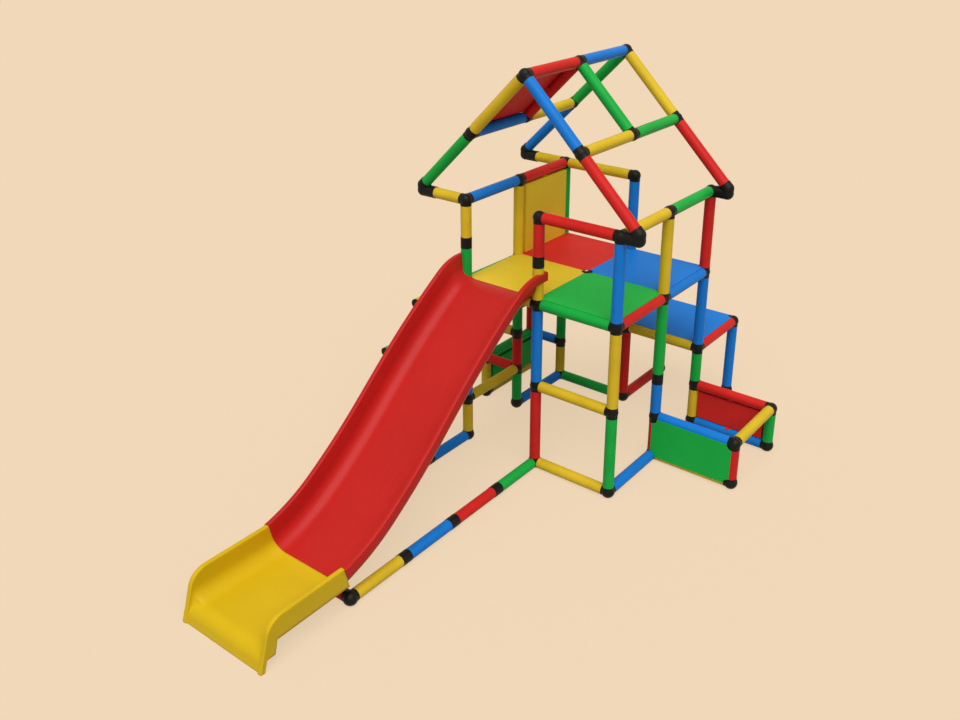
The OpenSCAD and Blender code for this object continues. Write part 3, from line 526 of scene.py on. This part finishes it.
def tongue():
    """Strip 4 mm thick under the end of the long slide, and on under the run-out's first bend,
    where its upper face lies inside the tray's sheet."""
    slide_centre = np.array(LAP_END) + SLIDE_END_R * upright(LAP_SLOPE)
    tray_centre = np.array([BEND_Y, FLOOR_Z + BEND_R])
    behind = steps(LAP_SLOPE + LAP_LEN / SLIDE_END_R, LAP_SLOPE, LAP_STEPS)
    ahead = steps(LAP_SLOPE - TONGUE_SKIP, 0.0, BEND_STEPS)
    low = np.concatenate([under_floor(behind, slide_centre, SLIDE_END_R, TONGUE_LOW),
                          under_floor(ahead, tray_centre, BEND_R, TONGUE_LOW)])
    high = np.concatenate([under_floor(behind, slide_centre, SLIDE_END_R, TONGUE_HIGH),
                           under_floor(ahead, tray_centre, BEND_R, SHEET / 2)])
    bar("runout_tongue", SLIDE_X - TONGUE_HALF, SLIDE_X + TONGUE_HALF, low, high)


def saddles():
    """Two blocks under the tongue. Their lower face is level, but for the half round groove that
    lies on the cross tube: there its height is that of a circle round the tube."""
    tube_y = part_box("floor_rails_red")[0][1] + TUBE_R
    backwards = np.array([math.cos(LAP_SLOPE), math.sin(LAP_SLOPE)])
    middle = np.array(LAP_END) - (TONGUE_LOW + TONGUE_HIGH) / 2 * upright(LAP_SLOPE)
    back = middle + LAP_LEN / 2 * backwards
    front = middle - LAP_LEN / 4 * backwards
    y = steps(back[0], front[0], SADDLE_STEPS)
    groove = np.sqrt(np.maximum((TUBE_R + SADDLE_GAP) ** 2 - (y - tube_y) ** 2, 0.0))
    low = np.stack([y, np.maximum(TUBE_Z + TUBE_R / 2, TUBE_Z + groove)], axis=-1)
    high = np.stack([y, np.interp(-y, [-back[0], -front[0]], [back[1], front[1]])], axis=-1)
    for side, x in (("left", SLIDE_X - SADDLE_X), ("right", SLIDE_X + SADDLE_X)):
        bar("runout_saddle_" + side, x - SADDLE_W / 2, x + SADDLE_W / 2, low, high)


runout_tray()
tongue()
saddles()

# The studio: the peach that camera and mirrored rays see all round, the floor's two tones, how much
# of the peach the floor shows over its own lit tone, and the grey it is for light that only bounces
BACKDROP = (0.878, 0.687, 0.485, 1.0)
FLOOR_DARK = (0.796, 0.622, 0.438, 1.0)
FLOOR_LIGHT = (0.808, 0.634, 0.448, 1.0)
FLOOR_GLOW = 0.80
FLOOR_BOUNCE = (0.38, 0.37, 0.36, 1.0)
FLOOR_HALF = 30.0

# Its light: strengths of the lamp and of the sky, the lamp's direction, place and apparent width
KEY_SHARE = 0.90
SKY_SHARE = 0.31
SKY_WHITE = (1.0, 1.0, 1.0, 1.0)
KEY_AIM = (-0.34, 0.38, -0.86)
KEY_PLACE = (3.0, -3.0, 7.0)
KEY_WIDTH = math.radians(60.0)

# The photograph's viewpoint: place in metres, axes of length 1, film and lens in millimetres,
# shifts in film widths, and how far the camera sees in metres
CAMERA_PLACE = (2.2669, -3.2544, 2.5532)
CAMERA_RIGHT = (0.789018, 0.614370, -0.000205)
CAMERA_UP = (-0.226544, 0.291255, 0.929434)
CAMERA_BACK = (0.571076, -0.733294, 0.368988)
FILM_WIDTH = 36.0
LENS_LENGTH = 36.985
SHIFT_X = -0.00975
SHIFT_Y = -0.09220
SIGHT = 100.0


def floor_finish():
    """Pale peach floor. The camera and every mirrored ray see it mostly as a lit backdrop, with the
    object's soft shadow in the rest; light that only bounces meets a grey floor."""
    f = Finish("studio_floor")
    f.wear(base_color=f.mix(f.noise(0.8, detail=2.0), FLOOR_DARK, FLOOR_LIGHT),
           roughness=1.0,
           specular_ior_level=0.0)
    glow = f.node("ShaderNodeEmission", {}, {"Color": BACKDROP, "Strength": 1.0})
    seen = f.node("ShaderNodeMixShader", {},
                  {0: FLOOR_GLOW, 1: f.surface.outputs[0], 2: glow.outputs[0]})
    bounce = f.node("ShaderNodeBsdfDiffuse", {}, {"Color": FLOOR_BOUNCE})
    ray = f.node("ShaderNodeLightPath").outputs
    mirrored = Value(f, ray["Is Glossy Ray"]) + Value(f, ray["Is Transmission Ray"])
    shown = (Value(f, ray["Is Camera Ray"]) + mirrored).clamped()
    both = f.node("ShaderNodeMixShader", {}, {0: shown, 1: bounce.outputs[0], 2: seen.outputs[0]})
    f.put(f.tree.nodes["Material Output"].inputs["Surface"], both.outputs[0])
    return f.material


def studio_floor():
    """A flat square at z = 0, wide enough to fill the photograph's view."""
    half = FLOOR_HALF
    corners = [(-half, -half, 0.0), (half, -half, 0.0), (half, half, 0.0), (-half, half, 0.0)]
    sheet = bpy.data.meshes.new("studio_floor")
    sheet.from_pydata(corners, [], [(0, 1, 2, 3)])
    piece = bpy.data.objects.new("studio_floor", sheet)
    sheet.materials.append(floor_finish())
    bpy.context.scene.collection.objects.link(piece)


def key_light():
    """A wide, far lamp over the viewer's shoulder, so soft that thin tubes throw no clear shadow."""
    light = bpy.data.lights.new("key_light", "SUN")
    light.energy = KEY_SHARE * math.pi
    light.angle = KEY_WIDTH
    piece = bpy.data.objects.new("key_light", light)
    piece.rotation_euler = Vector(KEY_AIM).to_track_quat("-Z", "Y").to_euler()
    piece.location = KEY_PLACE
    bpy.context.scene.collection.objects.link(piece)


def studio_world():
    """Even white light from all round; the camera and every mirrored ray see the backdrop's peach."""
    world = bpy.data.worlds.new("studio")
    bpy.context.scene.world = world
    world.use_nodes = True
    tree = world.node_tree
    tree.nodes.clear()
    sky = tree.nodes.new("ShaderNodeBackground")
    sky.inputs["Color"].default_value = SKY_WHITE
    sky.inputs["Strength"].default_value = SKY_SHARE
    backdrop = tree.nodes.new("ShaderNodeBackground")
    backdrop.inputs["Color"].default_value = BACKDROP
    backdrop.inputs["Strength"].default_value = 1.0
    ray = tree.nodes.new("ShaderNodeLightPath").outputs
    mirrored = tree.nodes.new("ShaderNodeMath")
    shown = tree.nodes.new("ShaderNodeMath")
    shown.use_clamp = True
    tree.links.new(ray["Is Glossy Ray"], mirrored.inputs[0])
    tree.links.new(ray["Is Transmission Ray"], mirrored.inputs[1])
    tree.links.new(ray["Is Camera Ray"], shown.inputs[0])
    tree.links.new(mirrored.outputs[0], shown.inputs[1])
    either = tree.nodes.new("ShaderNodeMixShader")
    tree.links.new(shown.outputs[0], either.inputs[0])
    tree.links.new(sky.outputs[0], either.inputs[1])
    tree.links.new(backdrop.outputs[0], either.inputs[2])
    tree.links.new(either.outputs[0], tree.nodes.new("ShaderNodeOutputWorld").inputs[0])


def photo_camera():
    """Camera at the photograph's viewpoint; its axes are the rows right, up and back."""
    camera = bpy.data.cameras.new("camera")
    camera.sensor_width = FILM_WIDTH
    camera.lens = LENS_LENGTH
    camera.shift_x = SHIFT_X
    camera.shift_y = SHIFT_Y
    camera.clip_end = SIGHT
    piece = bpy.data.objects.new("camera", camera)
    turn = Matrix((CAMERA_RIGHT, CAMERA_UP, CAMERA_BACK)).transposed().to_4x4()
    piece.matrix_world = Matrix.Translation(CAMERA_PLACE) @ turn
    bpy.context.scene.collection.objects.link(piece)
    bpy.context.scene.camera = piece


studio_floor()
studio_world()
key_light()
photo_camera()
bpy.context.scene.view_settings.view_transform = "Standard"
